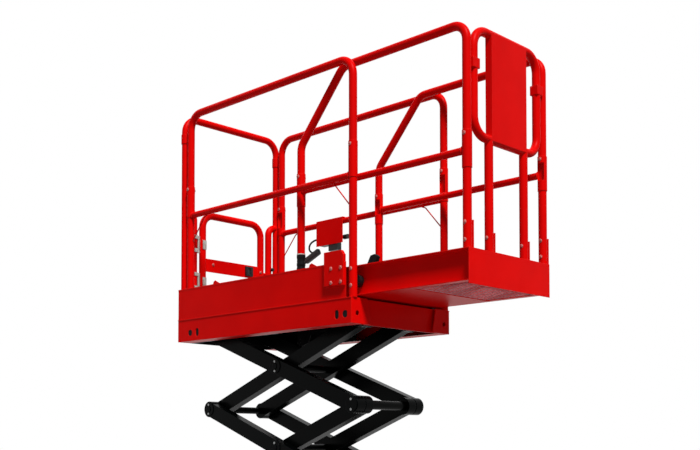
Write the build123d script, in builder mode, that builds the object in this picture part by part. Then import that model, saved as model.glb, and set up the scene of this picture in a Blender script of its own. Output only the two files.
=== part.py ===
"""Compact electric scissor lift with a roll-out deck, four scissor stages.

Millimetres, +Z up, +X towards the roll-out end, the floor at Z = 0.
The origin is under the middle of the whole length with the deck rolled out.
"""
import math
import os

from build123d import *

os.makedirs("parts", exist_ok=True)

# ---------------------------------------------------------------- driving sizes
machine_x = -251.0          # middle of the chassis on the shared X axis
half_track = 340.0          # wheel centre from the middle plane
tyre_r = 115.0              # solid tyre radius
tyre_w = 80.0
rim_r = 76.0
axle_r = 17.0
rear_axle_x = machine_x - 540.0
kingpin_x = machine_x + 520.0
kingpin_y = 250.0

chassis_front = machine_x + 712.0
chassis_rear = machine_x - 712.0
chassis_top = 330.0
chassis_half = 275.0        # half width of the frame above the wheels
plate = 6.0                 # chassis plate thickness
hanger_y = half_track - 57.0    # rear axle hanger plates
axle_end = half_track + 28.0    # outer end of the stub axles
tray_rear = machine_x - 365.0
tray_front = machine_x + 335.0
tray_top = 248.0
tray_low = 96.0
tray_in = 224.0
tray_side = 374.0
tray_wall = 4.0
tray_hinge_x = tray_rear + 10.0
tray_hinge_y = tray_side - 10.0
tray_pin_r = 5.0
guard_y = 236.0             # hinge line of the pothole guards
guard_z = 74.0
guard_low = 24.0            # lower edge of the guards above the floor
guard_pin_r = 6.0
guard_lugs = (-330.0, -15.0, 300.0)

stage_count = 4
arm_pitch = 1125.0          # pin to pin along one arm
stage_rise = 405.0          # height of one stage as it stands
base_pin_z = 400.0
front_pin_x = machine_x + 530.0
arm_depth = 74.0
arm_wide = 50.0
arm_wall = 5.0
outer_y = 208.0             # middle of an outer arm
inner_y = 152.0             # middle of an inner arm
shaft_r = 18.0              # cross shafts that carry a pair of arms
pin_r = 15.0                # stub pins
keeper_r = 36.0             # flanges that keep the pins, on the arms' outer faces
keeper_t = 4.0
pin_gap = 0.4               # running gap around every shaft and pin
roller_r = 22.0
cylinder_offset = 60.0      # cylinder pins from the middle line of their arms
cylinder_pin_r = 14.0
eye_along = 116.0           # rod's pin from the low end of its arms

deck_rear = machine_x - 640.0
deck_front = machine_x + 640.0
deck_half = 350.0
deck_frame_h = 121.0
deck_lip = 3.0              # how far the side plate's top edge is turned out
toe_top = 280.0             # above the deck's underside
pin_above_deck = 47.0       # top scissor pins above the deck's underside

rail_top = 1210.0           # centre of the top rail above the deck's underside
rail_mid = 672.0
rail_y = deck_half - 23.5
rail_r = 19.0
mid_r = 16.0
sleeve_r = 21.5             # outside of the post sleeves
bend_r = 80.0
rail_rear_x = machine_x - 565.0
rail_front_x = machine_x + 629.0
end_frame_x = machine_x - 616.0
gate_hinge_y = -238.0

ext_rear = machine_x + 219.0
ext_front = machine_x + 1255.0
ext_travel = 600.0
mesh_from = machine_x + 930.0   # the grating's rear edge in the roll-out deck's floor
mesh_pitch = 43.0
ext_half = deck_half - 53.0
ext_web = ext_half - 32.0     # middle of the channel's web
ext_low = 129.0             # underside of the roll-out deck above the main deck's underside
ext_top = 266.0
ext_rail_y = ext_half - 19.0
ext_post_rear_x = machine_x + 238.0
ext_post_front_x = machine_x + 1233.0
mesh_half = ext_web - 3.0
loop_y = 233.0              # upright of the front rail's loop
loop_low = 747.0
loop_top = 1199.0
panel_half = 128.0          # half width of the panel in the loop
panel_deep = 34.0           # how far the panel's sides are folded back
clamp_z = 1044.0            # middle of the clamps between loop and corner posts
slot_half = 17.0            # half width of the sleeves' slots

# ---------------------------------------------------------------- worked out places
rest_angle = math.asin(stage_rise / arm_pitch)
arm_span = arm_pitch * math.cos(rest_angle)
rear_pin_x = front_pin_x - arm_span
row_z = [base_pin_z + stage_rise * i for i in range(stage_count + 1)]
deck_z = row_z[stage_count] - pin_above_deck       # underside of the platform frame
cos_a = math.cos(rest_angle)
sin_a = math.sin(rest_angle)


def slab(x0, x1, y0, y1, z0, z1, mode=Mode.ADD):
    """A plate or block between six faces."""
    with Locations(((x0 + x1) / 2, (y0 + y1) / 2, (z0 + z1) / 2)):
        Box(abs(x1 - x0), abs(y1 - y0), abs(z1 - z0), mode=mode)


def bar(x, y, z, radius, length, axis, mode=Mode.ADD):
    """A round bar, its middle at a point, along one axis."""
    turn = {"x": (0, 90, 0), "y": (90, 0, 0), "z": (0, 0, 0)}[axis]
    with Locations((x, y, z)):
        Cylinder(radius, length, rotation=turn, mode=mode)


def tube(points, radius, bends, closed=False):
    """A round tube along a bent line."""
    with BuildLine() as path:
        FilletPolyline(*points, radius=bends, close=closed)
    wire = path.wire()
    with BuildSketch(Plane(origin=wire @ 0, z_dir=wire % 0)) as section:
        Circle(radius)
    sweep(sections=section.sketch, path=wire)


# ================================================================ chassis
# chassis frame: top plate, two side rails, spine plates, belly pan, bulkheads and end plates
with BuildPart() as chassis_frame:
    slab(chassis_rear, chassis_front, -chassis_half, chassis_half, chassis_top - 8, chassis_top)
    for side in (-1, 1):
        # side rail with the kingpin seat in it
        slab(chassis_rear, chassis_front, side * (chassis_half - 50), side * chassis_half, 254, chassis_top - 8)
        # spine plate, high enough over the front axle for the track rod to swing under it
        slab(chassis_rear, machine_x + 330, side * 113 - 3, side * 113 + 3, 90, chassis_top - 8)
        slab(machine_x + 330, chassis_front, side * 113 - 3, side * 113 + 3, 236, chassis_top - 8)
        # stub axle of the rear wheel and its hanger plate
        slab(rear_axle_x - 60, rear_axle_x + 60, side * hanger_y - 6, side * hanger_y + 6, 78, 254)
        slab(rear_axle_x - 60, rear_axle_x + 60, side * (chassis_half - 50), side * (hanger_y + 6), 246, 258)
        bar(rear_axle_x, side * (half_track - 17.5), tyre_r, axle_r, 91, "y")
        bar(rear_axle_x, side * (axle_end + 3), tyre_r, 26, 6, "y")
    slab(machine_x - 370, machine_x + 330, -218, 218, 84, 90)
    for wall_x in (machine_x - 370, machine_x + 324):
        slab(wall_x, wall_x + plate, -218, 218, 84, chassis_top - 8)
    slab(chassis_rear, chassis_rear + 10, -chassis_half, chassis_half, 110, chassis_top)
    slab(chassis_front - 10, chassis_front, -chassis_half, chassis_half, 110, chassis_top)
    # top lugs and pins the trays swing on
    for side in (-1, 1):
        slab(tray_rear - 10, tray_rear + 22, side * (chassis_half - 5), side * (tray_side + 2), 254, 262)
        bar(tray_hinge_x, side * tray_hinge_y, 230, tray_pin_r, 50, "z")
    # lugs that carry the guard bars' hinges
    for side in (-1, 1):
        for lug_x in guard_lugs:
            slab(machine_x + lug_x - 4, machine_x + lug_x + 4, side * 214, side * 246, 82, 90)
            bar(machine_x + lug_x, side * guard_y, guard_z, guard_pin_r + 4, 8, "x")
        bar(machine_x, side * guard_y, guard_z, guard_pin_r + pin_gap, 700, "x", Mode.SUBTRACT)
    # kingpin bores
    with Locations((kingpin_x, kingpin_y, 280), (kingpin_x, -kingpin_y, 280)):
        Cylinder(20 + pin_gap, 100, mode=Mode.SUBTRACT)
    # lashing and towing holes through the end plates
    with Locations((machine_x, 190, 180), (machine_x, -190, 180)):
        Cylinder(22, 1.1 * (chassis_front - chassis_rear), rotation=(0, 90, 0), mode=Mode.SUBTRACT)
chassis_frame.part.label = "chassis_frame"
export_step(chassis_frame.part, "parts/chassis_frame.step")

# scissor mounts: front ears and slotted slide plates at the rear
slide_from = machine_x - 630.0
slide_to = machine_x + 75.0
with BuildPart() as scissor_mounts:
    for side in (-1, 1):
        slab(slide_from, slide_to, side * 104 - 6, side * 104 + 6, chassis_top, base_pin_z + 29.5)
        for ear_y in (166, 245):
            slab(front_pin_x - 45, front_pin_x + 45, side * ear_y - 6, side * ear_y + 6, chassis_top, base_pin_z)
            bar(front_pin_x, side * ear_y, base_pin_z, 45, 12, "y")
    with Locations((front_pin_x, 0, base_pin_z)):
        Cylinder(22 + pin_gap, 560, rotation=(90, 0, 0), mode=Mode.SUBTRACT)
    with BuildSketch(Plane.XZ.offset(-130)):
        with Locations(((slide_from + slide_to) / 2, base_pin_z)):
            SlotOverall(slide_to - slide_from - 24, 2 * (roller_r + 0.5))
    extrude(amount=260, mode=Mode.SUBTRACT)
scissor_mounts.part.label = "scissor_mounts"
export_step(scissor_mounts.part, "parts/scissor_mounts.step")

# ladder on the rear end plate
with BuildPart() as ladder:
    for side in (-1, 1):
        tube([(chassis_rear, side * 150, 310), (chassis_rear - 30, side * 150, 310),
              (chassis_rear - 30, side * 150, 130), (chassis_rear, side * 150, 130)], 11, 18)
    for step_z in (160, 270):
        slab(chassis_rear - 40, chassis_rear - 18, -150, 150, step_z - 8, step_z + 8)
ladder.part.label = "ladder"
export_step(ladder.part, "parts/ladder.step")

# swing-out trays between the wheels, one with the batteries
for name, side in (("battery_tray", -1), ("hydraulic_tray", 1)):
    with BuildPart() as tray:
        with BuildSketch(Plane.YZ.offset(tray_rear)):
            with BuildLine():
                Polyline((side * tray_in, tray_low), (side * tray_side, tray_low), (side * tray_side, tray_top - 22),
                         (side * (tray_side - 16), tray_top), (side * tray_in, tray_top), close=True)
            make_face()
        extrude(amount=tray_front - tray_rear)
        with BuildSketch(Plane.YZ.offset(tray_rear + tray_wall)):
            with BuildLine():
                Polyline((side * (tray_in + tray_wall), tray_low + tray_wall),
                         (side * (tray_side - tray_wall), tray_low + tray_wall),
                         (side * (tray_side - tray_wall), tray_top - 24),
                         (side * (tray_side - 18), tray_top - tray_wall),
                         (side * (tray_in + tray_wall), tray_top - tray_wall), close=True)
            make_face()
        extrude(amount=tray_front - tray_rear - 2 * tray_wall, mode=Mode.SUBTRACT)
        # air slots and a hand hole through the outer face
        with BuildSketch(Plane.XZ.offset(-side * tray_side)):
            with Locations((tray_rear + 250, 170)):
                with GridLocations(0, 16, 1, 5):
                    SlotOverall(180, 7)
            with Locations((tray_front - 70, 200)):
                SlotOverall(90, 28)
        extrude(amount=side * 20, both=True, mode=Mode.SUBTRACT)
        # hinge knuckle in the rear outer corner
        bar(tray_hinge_x, side * tray_hinge_y, 172, 10, 2 * (tray_top - 172), "z")
        bar(tray_hinge_x, side * tray_hinge_y, tray_top, tray_pin_r + pin_gap, 100, "z", Mode.SUBTRACT)
    tray.part.label = name
    export_step(tray.part, f"parts/{name}.step")

with BuildPart() as batteries:
    for place in (-250, -80, 90, 260):
        slab(machine_x + place - 85, machine_x + place + 65, 16 - tray_side, -tray_in - 8,
             tray_low + tray_wall, tray_top - 20)
batteries.part.label = "batteries"
export_step(batteries.part, "parts/batteries.step")

# pothole guard bars under the trays
for name, side in (("guard_left", 1), ("guard_right", -1)):
    with BuildPart() as guard:
        slab(machine_x - 350, machine_x + 320, side * (guard_y - 3), side * (guard_y + 3), guard_low, guard_z)
        # notches that let the chassis' hinge lugs through
        for lug_x in guard_lugs:
            slab(machine_x + lug_x - 8, machine_x + lug_x + 8, side * 225, side * 250, guard_z - 18, 90, Mode.SUBTRACT)
        bar(machine_x - 15, side * guard_y, guard_z, guard_pin_r, 670, "x")
    guard.part.label = name
    export_step(guard.part, f"parts/{name}.step")

# steering knuckles
for name, side in (("knuckle_left", 1), ("knuckle_right", -1)):
    with BuildPart() as knuckle:
        bar(kingpin_x, side * kingpin_y, 252, 20, 140, "z")
        bar(kingpin_x, side * kingpin_y, 205, 32, 50, "z")
        slab(kingpin_x - 30, kingpin_x + 30, side * (kingpin_y - 20), side * (half_track - 50), 80, 200)
        bar(kingpin_x, side * (half_track - 15), tyre_r, axle_r, 86, "y")
        bar(kingpin_x, side * (axle_end + 3), tyre_r, 26, 6, "y")
        slab(kingpin_x - 90, kingpin_x, side * kingpin_y - 14, side * kingpin_y + 14, 184, 196)
        bar(kingpin_x - 90, side * kingpin_y, 190, 16, 12, "z")
        bar(kingpin_x - 90, side * kingpin_y, 200, 7, 30, "z")
    knuckle.part.label = name
    export_step(knuckle.part, f"parts/{name}.step")

with BuildPart() as tie_rod:
    bar(kingpin_x - 90, 0, 206, 8, 2 * kingpin_y - 20, "y")
    for side in (-1, 1):
        bar(kingpin_x - 90, side * kingpin_y, 206, 15, 18, "z")
    with Locations((kingpin_x - 90, kingpin_y, 206), (kingpin_x - 90, -kingpin_y, 206)):
        Cylinder(7 + pin_gap, 40, mode=Mode.SUBTRACT)
tie_rod.part.label = "tie_rod"
export_step(tie_rod.part, "parts/tie_rod.step")

# wheels: solid tyre on a dished disc
wheel_table = [
    # name, axle x, side
    ("front_left", kingpin_x, 1),
    ("front_right", kingpin_x, -1),
    ("rear_left", rear_axle_x, 1),
    ("rear_right", rear_axle_x, -1),
]
for name, axle_x, side in wheel_table:
    with BuildPart() as tyre:
        with BuildSketch(Plane(origin=(axle_x, side * half_track, tyre_r), x_dir=(0, 1, 0), z_dir=(1, 0, 0))):
            with BuildLine():
                Polyline((-tyre_w / 2, rim_r), (-tyre_w / 2, tyre_r - 12), (-tyre_w / 2 + 3, tyre_r - 5),
                         (-tyre_w / 2 + 10, tyre_r), (tyre_w / 2 - 10, tyre_r), (tyre_w / 2 - 3, tyre_r - 5),
                         (tyre_w / 2, tyre_r - 12), (tyre_w / 2, rim_r), close=True)
            make_face()
        revolve(axis=Axis((axle_x, side * half_track, tyre_r), (0, 1, 0)))
    tyre.part.label = name + "_tyre"
    export_step(tyre.part, f"parts/{name}_tyre.step")
    with BuildPart() as hub:
        # rim, dished disc and boss, turned about the axle
        with BuildSketch(Plane(origin=(axle_x, side * half_track, tyre_r), x_dir=(0, side, 0), z_dir=(side, 0, 0))):
            with BuildLine():
                Polyline((-36, axle_r + pin_gap), (-36, rim_r), (36, rim_r), (36, rim_r - 7), (18, rim_r - 14),
                         (14, 38), (24, 30), (25, axle_r + pin_gap), close=True)
            make_face()
        revolve(axis=Axis((axle_x, side * half_track, tyre_r), (0, 1, 0)))
    hub.part.label = name + "_hub"
    export_step(hub.part, f"parts/{name}_hub.step")

# ================================================================ scissor stack
# every arm: a closed rectangular tube with a boss round each pin
mid_x = (front_pin_x + rear_pin_x) / 2
foot_x = mid_x + cylinder_offset * sin_a
foot_z = (row_z[0] + row_z[1]) / 2 - cylinder_offset * cos_a
eye_x = rear_pin_x + eye_along * cos_a - cylinder_offset * sin_a
eye_z = row_z[1] + eye_along * sin_a + cylinder_offset * cos_a


gusset_y = 121.0            # inner faces of the gussets


def gusset(x, z, reach):
    """A pair of plates on the arms' inner faces, standing square to an inner arm."""
    for side in (-1, 1):
        face = Plane(origin=(x, side * (gusset_y + 3) + 3, z), x_dir=(cos_a, 0, sin_a), z_dir=(0, -1, 0))
        with BuildSketch(face) as outline:
            with Locations((0, reach / 2)):
                SlotCenterToCenter(abs(reach), 56, rotation=90)
        extrude(outline.sketch, amount=6)


for stage in range(1, stage_count + 1):
    low = row_z[stage - 1]
    high = row_z[stage]
    mid_z = (low + high) / 2
    # outer pair: front end low, rear end high
    with BuildPart() as outer:
        for side in (-1, 1):
            face = Plane(origin=(mid_x, side * outer_y + arm_wide / 2, mid_z), x_dir=(cos_a, 0, -sin_a),
                         z_dir=(0, -1, 0))
            with BuildSketch(face):
                Rectangle(arm_pitch, arm_depth)
                with Locations((arm_pitch / 2, 0), (-arm_pitch / 2, 0)):
                    Circle(42)
            extrude(amount=arm_wide)
            with BuildSketch(face.offset(arm_wall)):
                with Locations((arm_pitch / 4, 0), (-arm_pitch / 4, 0)):
                    Rectangle(arm_pitch / 2 - 100, arm_depth - 2 * arm_wall)
            extrude(amount=arm_wide - 2 * arm_wall, mode=Mode.SUBTRACT)
            # keeper flanges on the outer face at the pins
            for pin_x, pin_z in ((mid_x, mid_z), (rear_pin_x, high), (front_pin_x, low)):
                bar(pin_x, side * (outer_y + arm_wide / 2 + keeper_t / 2), pin_z, keeper_r, keeper_t, "y")
        with Locations((mid_x, 0, mid_z)):
            Cylinder(pin_r + pin_gap, 600, rotation=(90, 0, 0), mode=Mode.SUBTRACT)
        if stage < stage_count:
            with Locations((rear_pin_x, 0, high)):
                Cylinder(pin_r + pin_gap, 600, rotation=(90, 0, 0), mode=Mode.SUBTRACT)
        else:
            for side in (-1, 1):
                bar(rear_pin_x, side * 249, high, roller_r, 26, "y")
        shaft_reach = 258 if stage == 1 else 190
        bar(front_pin_x, 0, low, 22, 2 * shaft_reach, "y")
    outer.part.label = f"outer_arms_{stage}"
    export_step(outer.part, f"parts/outer_arms_{stage}.step")
    # inner pair: rear end low, front end high
    with BuildPart() as inner:
        for side in (-1, 1):
            face = Plane(origin=(mid_x, side * inner_y + arm_wide / 2, mid_z), x_dir=(cos_a, 0, sin_a),
                         z_dir=(0, -1, 0))
            with BuildSketch(face):
                Rectangle(arm_pitch, arm_depth)
                with Locations((arm_pitch / 2, 0), (-arm_pitch / 2, 0)):
                    Circle(42)
            extrude(amount=arm_wide)
            with BuildSketch(face.offset(arm_wall)):
                with Locations((arm_pitch / 4, 0), (-arm_pitch / 4, 0)):
                    Rectangle(arm_pitch / 2 - 100, arm_depth - 2 * arm_wall)
            extrude(amount=arm_wide - 2 * arm_wall, mode=Mode.SUBTRACT)
            for pin_x, pin_z in ((mid_x, mid_z), (rear_pin_x, low), (front_pin_x, high)):
                bar(pin_x, side * 179.5, pin_z, 30, 5, "y")
            # middle pin through the outer arm
            bar(mid_x, side * 205, mid_z, pin_r, 70, "y")
            if stage > 1:
                bar(rear_pin_x, side * 205, low, pin_r, 70, "y")
            else:
                bar(rear_pin_x, side * 104, low, roller_r, 20, "y")
        front_bore = 22 if stage < stage_count else pin_r
        with Locations((front_pin_x, 0, high)):
            Cylinder(front_bore + pin_gap, 600, rotation=(90, 0, 0), mode=Mode.SUBTRACT)
        bar(rear_pin_x, 0, low, shaft_r, 260, "y")
        if stage > 1:
            bar(mid_x, 0, mid_z, shaft_r, 260, "y")
        # the lift cylinder turns on a shaft held by gussets inside the arms
        if stage == 1:
            gusset(mid_x, mid_z, -cylinder_offset)
            bar(foot_x, 0, foot_z, cylinder_pin_r, 254, "y")
        if stage == 2:
            gusset(rear_pin_x + eye_along * cos_a, low + eye_along * sin_a, cylinder_offset)
    inner.part.label = f"inner_arms_{stage}"
    export_step(inner.part, f"parts/inner_arms_{stage}.step")

# lift cylinder from the first inner pair's middle to the second inner pair's low end
lean = math.atan2(eye_z - foot_z, eye_x - foot_x)
reach = math.hypot(eye_z - foot_z, eye_x - foot_x)
along = Plane(origin=(foot_x, 0, foot_z), x_dir=(0, 1, 0), z_dir=(math.cos(lean), 0, math.sin(lean)))
barrel_len = 420.0
with BuildPart() as cylinder_barrel:
    with BuildSketch(along.offset(28)):
        Circle(32)
    extrude(amount=barrel_len - 28)
    bar(foot_x, 0, foot_z, 30, 60, "y")
    bar(foot_x, 0, foot_z, cylinder_pin_r + pin_gap, 120, "y", Mode.SUBTRACT)
    with BuildSketch(along.offset(50)):
        Circle(18 + pin_gap)
    extrude(amount=barrel_len, mode=Mode.SUBTRACT)
cylinder_barrel.part.label = "cylinder_barrel"
export_step(cylinder_barrel.part, "parts/cylinder_barrel.step")
with BuildPart() as cylinder_rod:
    with BuildSketch(along.offset(150)):
        Circle(18)
    extrude(amount=reach - 150)
    bar(eye_x, 0, eye_z, 26, 50, "y")
    # the rod's cross pin, its ends against the gussets
    bar(eye_x, 0, eye_z, cylinder_pin_r, 2 * (gusset_y - 0.3), "y")
cylinder_rod.part.label = "cylinder_rod"
export_step(cylinder_rod.part, "parts/cylinder_rod.step")

# ================================================================ platform
top_row = row_z[stage_count]
with BuildPart() as deck_frame:
    for side in (-1, 1):
        # side plate with its top edge turned out, and its lower flange turned in
        slab(deck_rear, deck_front, side * (deck_half - 4), side * deck_half, deck_z, deck_z + deck_frame_h - 4)
        slab(deck_rear, deck_front, side * (deck_half - 4), side * (deck_half + deck_lip),
             deck_z + deck_frame_h - 8, deck_z + deck_frame_h - 4)
        slab(deck_rear, deck_front, side * 274, side * deck_half, deck_z, deck_z + 4)
        # channel the upper rollers run in
        slab(deck_rear + 10, machine_x + 75, side * 268, side * 274, deck_z, deck_z + deck_frame_h - 4)
        for strip_z in (top_row - roller_r - 7.5, top_row + roller_r + 0.5):
            slab(deck_rear + 10, machine_x + 75, side * 243, side * 274, strip_z, strip_z + 7)
        # ears and pins for the upper front arm ends
        for ear_y in (116, 189):
            slab(front_pin_x - 42, front_pin_x + 42, side * ear_y - 4, side * ear_y + 4,
                 top_row, deck_z + deck_frame_h - 4)
            bar(front_pin_x, side * ear_y, top_row, 42, 8, "y")
        bar(front_pin_x, side * 154, top_row, pin_r, 84, "y")
        # corner flange at the front, wider at its foot, with a lashing hole
        with BuildSketch(Plane.YZ.offset(deck_front - 4)):
            with BuildLine():
                Polyline((side * (deck_half - 128), deck_z), (side * deck_half, deck_z),
                         (side * deck_half, deck_z + deck_frame_h - 4),
                         (side * (deck_half - 105), deck_z + deck_frame_h - 4), close=True)
            make_face()
            with Locations((side * (deck_half - 40), deck_z + 47)):
                Circle(11, mode=Mode.SUBTRACT)
        extrude(amount=4)
        slab(deck_front - 26, deck_front, side * (deck_half - 105), side * deck_half,
             deck_z + deck_frame_h - 8, deck_z + deck_frame_h - 4)
        # round lashing holes and upright slots near both ends of the side plate
        with BuildSketch(Plane.XZ.offset(-side * deck_half)):
            with Locations((machine_x - 536, deck_z + 43), (machine_x + 601, deck_z + 43)):
                Circle(17)
            with Locations((machine_x - 477, deck_z + 43), (machine_x + 548, deck_z + 44)):
                SlotOverall(42, 26, rotation=90)
        extrude(amount=side * 6, both=True, mode=Mode.SUBTRACT)
    # hose guide left of the middle, cut back where the top stage's shaft comes up
    with BuildSketch(Plane.XZ.offset(-61)):
        with BuildLine():
            Polyline((machine_x - 44, deck_z + deck_frame_h - 8), (machine_x - 44, deck_z + 22),
                     (machine_x - 62, deck_z - 14), (machine_x - 108, deck_z - 30),
                     (machine_x - 140, deck_z - 18), (machine_x - 140, deck_z + deck_frame_h - 8), close=True)
        make_face()
        with Locations((machine_x - 120, deck_z - 2)):
            SlotOverall(24, 12, rotation=90, mode=Mode.SUBTRACT)
    extrude(amount=6)
    slab(deck_rear, deck_rear + 4, -deck_half, deck_half, deck_z, deck_z + deck_frame_h - 4)
    slab(deck_front - 26, deck_front - 20, -deck_half, deck_half, deck_z, deck_z + deck_frame_h - 4)
    slab(deck_rear, deck_front - 20, -deck_half, deck_half, deck_z + deck_frame_h - 8, deck_z + deck_frame_h - 4)
deck_frame.part.label = "deck_frame"
export_step(deck_frame.part, "parts/deck_frame.step")

with BuildPart() as deck_floor:
    slab(deck_rear + 6, deck_front - 40, 8 - deck_half, deck_half - 8, deck_z + deck_frame_h - 4, deck_z + deck_frame_h)
deck_floor.part.label = "deck_floor"
export_step(deck_floor.part, "parts/deck_floor.step")

roller_x = deck_front - 22
with BuildPart() as slide_strips:
    for side in (-1, 1):
        # guide roller in the mouth of the roll-out deck's channel, on a stub against the rail post
        bar(roller_x, side * (ext_half - 13), deck_z + 196, 27, 23, "y")
        bar(roller_x, side * (ext_half + 3), deck_z + 196, 8, 2 * (rail_y - rail_r - 0.3 - ext_half - 3), "y")
        slab(ext_rear - ext_travel, deck_front - 40, side * ext_web, side * ext_half,
             deck_z + deck_frame_h, deck_z + ext_low - 0.3)
slide_strips.part.label = "slide_strips"
export_step(slide_strips.part, "parts/slide_strips.step")

with BuildPart() as toe_boards:
    for side in (-1, 1):
        slab(deck_rear, rail_front_x - 24, side * (deck_half - 4), side * (deck_half - 1),
             deck_z + deck_frame_h - 4, deck_z + toe_top)
        # rolled top edge
        slab(deck_rear, rail_front_x - 24, side * (deck_half - 4), side * deck_half,
             deck_z + toe_top - 8, deck_z + toe_top)
        # pressed bracket with a raised tab, on the outer face at the front
        with BuildSketch(Plane.XZ.offset(side * (1 - deck_half))):
            with BuildLine():
                Polyline((machine_x + 483, deck_z + 176), (machine_x + 605, deck_z + 172), (machine_x + 605, deck_z + 310),
                         (machine_x + 590, deck_z + 331), (machine_x + 483, deck_z + 331), close=True)
            make_face()
        extrude(amount=-side * 18)
        # stop tabs on the top edge
        for tab_x in (machine_x - 318, machine_x + 394):
            with BuildSketch(Plane.XZ.offset(side * (1 - deck_half))):
                with BuildLine():
                    Polyline((tab_x - 30, deck_z + toe_top - 4), (tab_x + 32, deck_z + toe_top - 4),
                             (tab_x - 12, deck_z + toe_top + 18), (tab_x - 24, deck_z + toe_top + 12), close=True)
                make_face()
            extrude(amount=side * 4)
    slab(deck_rear, deck_rear + 3, 4 - deck_half, deck_half - 4, deck_z + deck_frame_h - 4, deck_z + toe_top - 9)
toe_boards.part.label = "toe_boards"
export_step(toe_boards.part, "parts/toe_boards.step")

for name, side in (("side_rail_left", 1), ("side_rail_right", -1)):
    y = side * rail_y
    with BuildPart() as side_rail:
        tube([(rail_rear_x, y, deck_z + deck_frame_h), (rail_rear_x, y, deck_z + rail_top),
              (rail_front_x, y, deck_z + rail_top), (rail_front_x, y, deck_z + deck_frame_h - 4)],
             rail_r, bend_r)
        bar((rail_rear_x + rail_front_x) / 2, y, deck_z + rail_mid, mid_r, rail_front_x - rail_rear_x, "x")
        for post_x, towards in ((rail_rear_x, 1), (rail_front_x, -1)):
            bar(post_x, y, deck_z + 742, sleeve_r, 165, "z")
            # the sleeve is a channel, open on its inner side below the bolt
            slab(post_x - slot_half, post_x + slot_half, y - side * 2, y - side * 30,
                 deck_z + 702, deck_z + 791, Mode.SUBTRACT)
            # tie rod from the middle rail down to the post
            tube([(post_x + towards * 16, y, deck_z + 533), (post_x + towards * 118, y, deck_z + 648),
                  (post_x + towards * 150, y, deck_z + 660)], 3, 20)
    side_rail.part.label = name
    export_step(side_rail.part, f"parts/{name}.step")

with BuildPart() as rear_rail:
    tube([(end_frame_x, -rail_y, deck_z + deck_frame_h), (end_frame_x, -rail_y, deck_z + rail_top),
          (end_frame_x, rail_y, deck_z + rail_top), (end_frame_x, rail_y, deck_z + deck_frame_h)],
         rail_r, bend_r)
    for side in (-1, 1):
        tube([(end_frame_x, side * rail_y, deck_z + 706), (end_frame_x, side * 268, deck_z + 706),
              (end_frame_x, side * 268, deck_z + deck_frame_h)], rail_r, 45)
    # clamps to the side rails
    for side in (-1, 1):
        slab(end_frame_x + 8, rail_rear_x - rail_r - 0.3, side * rail_y - 9, side * rail_y + 9,
             deck_z + 1070, deck_z + 1112)
        bar(end_frame_x, side * rail_y, deck_z + 1091, rail_r + 3, 50, "z")
    # hinge knuckles above and below each gate knuckle
    for hinge_z in (335, 537):
        bar(end_frame_x, gate_hinge_y, deck_z + hinge_z, 4, 80, "z")
        for step in (-36, 36):
            bar(end_frame_x, gate_hinge_y, deck_z + hinge_z + step, 9, 20, "z")
            slab(end_frame_x - 3, end_frame_x + 3, -268, gate_hinge_y,
                 deck_z + hinge_z + step - 10, deck_z + hinge_z + step + 10)
rear_rail.part.label = "rear_rail"
export_step(rear_rail.part, "parts/rear_rail.step")

with BuildPart() as gate:
    tube([(end_frame_x, 208, deck_z + 706), (end_frame_x, 208, deck_z + 175),
          (end_frame_x, -208, deck_z + 175), (end_frame_x, -208, deck_z + 706)], rail_r, 70, closed=True)
    slab(end_frame_x - 3, end_frame_x + 3, -208, 208, deck_z + 397, deck_z + 468)
    slab(end_frame_x - 12, end_frame_x + 12, 92, 142, deck_z + 407, deck_z + 458)
    slab(end_frame_x - 20, end_frame_x + 20, 106, 128, deck_z + 415, deck_z + 451, Mode.SUBTRACT)
    # latch bolt towards the post
    bar(end_frame_x, 233, deck_z + 432, 7, 30, "y")
    for hinge_z in (335, 537):
        bar(end_frame_x, gate_hinge_y, deck_z + hinge_z, 9, 50, "z")
        slab(end_frame_x - 3, end_frame_x + 3, gate_hinge_y, -208, deck_z + hinge_z - 25, deck_z + hinge_z + 25)
        bar(end_frame_x, gate_hinge_y, deck_z + hinge_z, 4 + pin_gap, 60, "z", Mode.SUBTRACT)
gate.part.label = "gate"
export_step(gate.part, "parts/gate.step")

# control station: hanger plate bent over the left middle rail, black box behind it
hanger_in = rail_y - mid_r - 0.3        # hanger's face towards the rail
hanger_out = rail_y + mid_r + 0.3
hanger_top = deck_z + rail_mid + mid_r + 0.3
hanger_low = deck_z + 551
hanger_from = machine_x - 258.0
hanger_len = 202.0
with BuildPart() as control_hanger:
    with BuildSketch(Plane.YZ.offset(hanger_from)):
        with BuildLine():
            Polyline((hanger_in - 3, hanger_low), (hanger_in - 3, hanger_top + 3), (hanger_out + 3, hanger_top + 3),
                     (hanger_out + 3, hanger_top - 25), (hanger_out, hanger_top - 25), (hanger_out, hanger_top),
                     (hanger_in, hanger_top), (hanger_in, hanger_low), close=True)
        make_face()
    extrude(amount=hanger_len)
    fillet(control_hanger.edges().filter_by(Axis.X).group_by(Axis.Z)[-1], 2.5)
control_hanger.part.label = "control_hanger"
export_step(control_hanger.part, "parts/control_hanger.step")

box_len = 128.0
with BuildPart() as control_box:
    with BuildSketch(Plane.YZ.offset(hanger_from + 14)):
        with BuildLine():
            Polyline((hanger_in, hanger_low + 3), (hanger_in + 46, hanger_low + 3), (hanger_in + 58, hanger_low + 30),
                     (hanger_in + 58, hanger_low + 97), (hanger_in, hanger_low + 97), close=True)
        make_face()
    extrude(amount=box_len)
    fillet(control_box.edges().filter_by(Axis.Z), 6)
    # foot under the box
    slab(hanger_from + 90, hanger_from + 158, hanger_in + 2, hanger_in + 34, hanger_low - 34, hanger_low + 3)
    # drive knob on its stem at the front end
    bar(hanger_from + 14 + box_len + 22, hanger_in + 28, hanger_low + 34, 8, 46, "x")
    bar(hanger_from + 200, hanger_in + 28, hanger_low + 34, 13, 30, "x")
control_box.part.label = "control_box"
export_step(control_box.part, "parts/control_box.step")

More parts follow.
